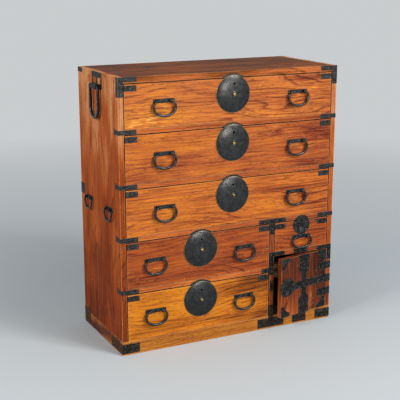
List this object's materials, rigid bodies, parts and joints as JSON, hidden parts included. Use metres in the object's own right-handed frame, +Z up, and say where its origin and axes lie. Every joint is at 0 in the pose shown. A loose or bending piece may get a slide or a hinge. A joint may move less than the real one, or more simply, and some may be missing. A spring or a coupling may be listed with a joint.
{
  "type": "chest of drawers",
  "caption": "Tall wooden clothes chest with lockable drawers, a small drawer over a side-hinged door, iron corner plates, swinging handles and a carrying bail on each side.",
  "frame": {"origin": "on the floor under the middle of the case", "axes": "+Z up, the drawers open towards -Y, +X to the right seen from the front"},
  "size_m": [0.922, 0.4463, 1],
  "materials": {
    "board_wood": "worn red-brown lacquer",
    "rail_wood": "worn lacquer",
    "front_wood": "worn lacquer over strong grain",
    "front_wood_red": "worn lacquer over strong grain",
    "door_wood": "worn lacquer",
    "inner_wood": "bare",
    "iron": "blackened and worn",
    "brass": "dull"
  },
  "bodies": {
    "case": {"top_board": "board_wood", "bottom_board": "inner_wood", "side_left": "board_wood", "side_right": "board_wood", "back_boards": "inner_wood", "base_frame": "board_wood", "front_rails": "rail_wood", "dust_boards": "inner_wood", "centre_divider": "rail_wood", "inner_shelf": "rail_wood", "inner_drawer_front": "front_wood", "inner_drawer_box": "inner_wood", "corner_irons": "iron", "edge_straps": "iron", "bay_irons": "iron", "base_irons": "iron", "strike_plates": "iron", "side_fittings": "iron"},
    "drawer_1": {"drawer_1_front": "front_wood", "drawer_1_box": "inner_wood", "drawer_1_irons": "iron"},
    "drawer_1_bail_left": {"drawer_1_bail_left": "iron"},
    "drawer_1_bail_right": {"drawer_1_bail_right": "iron"},
    "drawer_1_button": {"drawer_1_button": "brass"},
    "drawer_2": {"drawer_2_front": "front_wood", "drawer_2_box": "inner_wood", "drawer_2_irons": "iron"},
    "drawer_2_bail_left": {"drawer_2_bail_left": "iron"},
    "drawer_2_bail_right": {"drawer_2_bail_right": "iron"},
    "drawer_2_button": {"drawer_2_button": "brass"},
    "drawer_3": {"drawer_3_front": "front_wood", "drawer_3_box": "inner_wood", "drawer_3_irons": "iron"},
    "drawer_3_bail_left": {"drawer_3_bail_left": "iron"},
    "drawer_3_bail_right": {"drawer_3_bail_right": "iron"},
    "drawer_3_button": {"drawer_3_button": "brass"},
    "drawer_4": {"drawer_4_front": "front_wood_red", "drawer_4_box": "inner_wood", "drawer_4_irons": "iron"},
    "drawer_4_bail_left": {"drawer_4_bail_left": "iron"},
    "drawer_4_bail_right": {"drawer_4_bail_right": "iron"},
    "drawer_4_button": {"drawer_4_button": "brass"},
    "drawer_5": {"drawer_5_front": "front_wood", "drawer_5_box": "inner_wood", "drawer_5_irons": "iron"},
    "drawer_5_bail_left": {"drawer_5_bail_left": "iron"},
    "drawer_5_bail_right": {"drawer_5_bail_right": "iron"},
    "drawer_5_button": {"drawer_5_button": "brass"},
    "small_drawer": {"small_drawer_front": "front_wood", "small_drawer_box": "inner_wood", "small_drawer_irons": "iron"},
    "small_drawer_bail": {"small_drawer_bail": "iron"},
    "door": {"door_panel": "door_wood", "door_irons": "iron"},
    "carry_bail_left": {"carry_bail_left": "iron"},
    "side_bail_left_front": {"side_bail_left_front": "iron"},
    "side_bail_left_back": {"side_bail_left_back": "iron"},
    "carry_bail_right": {"carry_bail_right": "iron"},
    "side_bail_right_front": {"side_bail_right_front": "iron"},
    "side_bail_right_back": {"side_bail_right_back": "iron"}
  },
  "joints": [
    {"name": "drawer_1_slide", "type": "slide", "parent": "case", "child": "drawer_1", "axis": [0, -1, 0], "range_m": [0, 0.3]},
    {"name": "drawer_1_bail_left_swing", "type": "hinge", "parent": "drawer_1", "child": "drawer_1_bail_left", "pos_m": [-0.27, -0.206, 0.912], "axis": [-1, 0, 0], "range_deg": [0, 100]},
    {"name": "drawer_1_bail_right_swing", "type": "hinge", "parent": "drawer_1", "child": "drawer_1_bail_right", "pos_m": [0.27, -0.206, 0.912], "axis": [-1, 0, 0], "range_deg": [0, 100]},
    {"name": "drawer_1_button_press", "type": "slide", "parent": "drawer_1", "child": "drawer_1_button", "axis": [0, 1, 0], "range_m": [0, 0.003], "stiffness_N_per_m": 600},
    {"name": "drawer_2_slide", "type": "slide", "parent": "case", "child": "drawer_2", "axis": [0, -1, 0], "range_m": [0, 0.3]},
    {"name": "drawer_2_bail_left_swing", "type": "hinge", "parent": "drawer_2", "child": "drawer_2_bail_left", "pos_m": [-0.27, -0.206, 0.727], "axis": [-1, 0, 0], "range_deg": [0, 100]},
    {"name": "drawer_2_bail_right_swing", "type": "hinge", "parent": "drawer_2", "child": "drawer_2_bail_right", "pos_m": [0.27, -0.206, 0.727], "axis": [-1, 0, 0], "range_deg": [0, 100]},
    {"name": "drawer_2_button_press", "type": "slide", "parent": "drawer_2", "child": "drawer_2_button", "axis": [0, 1, 0], "range_m": [0, 0.003], "stiffness_N_per_m": 600},
    {"name": "drawer_3_slide", "type": "slide", "parent": "case", "child": "drawer_3", "axis": [0, -1, 0], "range_m": [0, 0.3]},
    {"name": "drawer_3_bail_left_swing", "type": "hinge", "parent": "drawer_3", "child": "drawer_3_bail_left", "pos_m": [-0.27, -0.206, 0.535], "axis": [-1, 0, 0], "range_deg": [0, 100]},
    {"name": "drawer_3_bail_right_swing", "type": "hinge", "parent": "drawer_3", "child": "drawer_3_bail_right", "pos_m": [0.27, -0.206, 0.535], "axis": [-1, 0, 0], "range_deg": [0, 100]},
    {"name": "drawer_3_button_press", "type": "slide", "parent": "drawer_3", "child": "drawer_3_button", "axis": [0, 1, 0], "range_m": [0, 0.003], "stiffness_N_per_m": 600},
    {"name": "drawer_4_slide", "type": "slide", "parent": "case", "child": "drawer_4", "axis": [0, -1, 0], "range_m": [0, 0.3]},
    {"name": "drawer_4_bail_left_swing", "type": "hinge", "parent": "drawer_4", "child": "drawer_4_bail_left", "pos_m": [-0.3095, -0.206, 0.345], "axis": [-1, 0, 0], "range_deg": [0, 100]},
    {"name": "drawer_4_bail_right_swing", "type": "hinge", "parent": "drawer_4", "child": "drawer_4_bail_right", "pos_m": [0.0525, -0.206, 0.345], "axis": [-1, 0, 0], "range_deg": [0, 100]},
    {"name": "drawer_4_button_press", "type": "slide", "parent": "drawer_4", "child": "drawer_4_button", "axis": [0, 1, 0], "range_m": [0, 0.003], "stiffness_N_per_m": 600},
    {"name": "drawer_5_slide", "type": "slide", "parent": "case", "child": "drawer_5", "axis": [0, -1, 0], "range_m": [0, 0.3]},
    {"name": "drawer_5_bail_left_swing", "type": "hinge", "parent": "drawer_5", "child": "drawer_5_bail_left", "pos_m": [-0.3095, -0.206, 0.153], "axis": [-1, 0, 0], "range_deg": [0, 100]},
    {"name": "drawer_5_bail_right_swing", "type": "hinge", "parent": "drawer_5", "child": "drawer_5_bail_right", "pos_m": [0.0525, -0.206, 0.153], "axis": [-1, 0, 0], "range_deg": [0, 100]},
    {"name": "drawer_5_button_press", "type": "slide", "parent": "drawer_5", "child": "drawer_5_button", "axis": [0, 1, 0], "range_m": [0, 0.003], "stiffness_N_per_m": 600},
    {"name": "small_drawer_slide", "type": "slide", "parent": "case", "child": "small_drawer", "axis": [0, -1, 0], "range_m": [0, 0.3]},
    {"name": "small_drawer_bail_swing", "type": "hinge", "parent": "small_drawer", "child": "small_drawer_bail", "pos_m": [0.3015, -0.206, 0.353], "axis": [-1, 0, 0], "range_deg": [0, 90]},
    {"name": "door_hinge", "type": "hinge", "parent": "case", "child": "door", "pos_m": [0.42, -0.1994, 0.169], "axis": [0, 0, 1], "range_deg": [-12, 158]},
    {"name": "carry_bail_left_swing", "type": "hinge", "parent": "case", "child": "carry_bail_left", "pos_m": [-0.452, 0, 0.95], "axis": [0, 1, 0], "range_deg": [0, 170]},
    {"name": "side_bail_left_front_swing", "type": "hinge", "parent": "case", "child": "side_bail_left_front", "pos_m": [-0.45, -0.1, 0.524], "axis": [0, 1, 0], "range_deg": [0, 100]},
    {"name": "side_bail_left_back_swing", "type": "hinge", "parent": "case", "child": "side_bail_left_back", "pos_m": [-0.45, 0.1, 0.524], "axis": [0, 1, 0], "range_deg": [0, 100]},
    {"name": "carry_bail_right_swing", "type": "hinge", "parent": "case", "child": "carry_bail_right", "pos_m": [0.452, 0, 0.95], "axis": [0, -1, 0], "range_deg": [0, 170]},
    {"name": "side_bail_right_front_swing", "type": "hinge", "parent": "case", "child": "side_bail_right_front", "pos_m": [0.45, -0.1, 0.524], "axis": [0, -1, 0], "range_deg": [0, 100]},
    {"name": "side_bail_right_back_swing", "type": "hinge", "parent": "case", "child": "side_bail_right_back", "pos_m": [0.45, 0.1, 0.524], "axis": [0, -1, 0], "range_deg": [0, 100]}
  ]
}
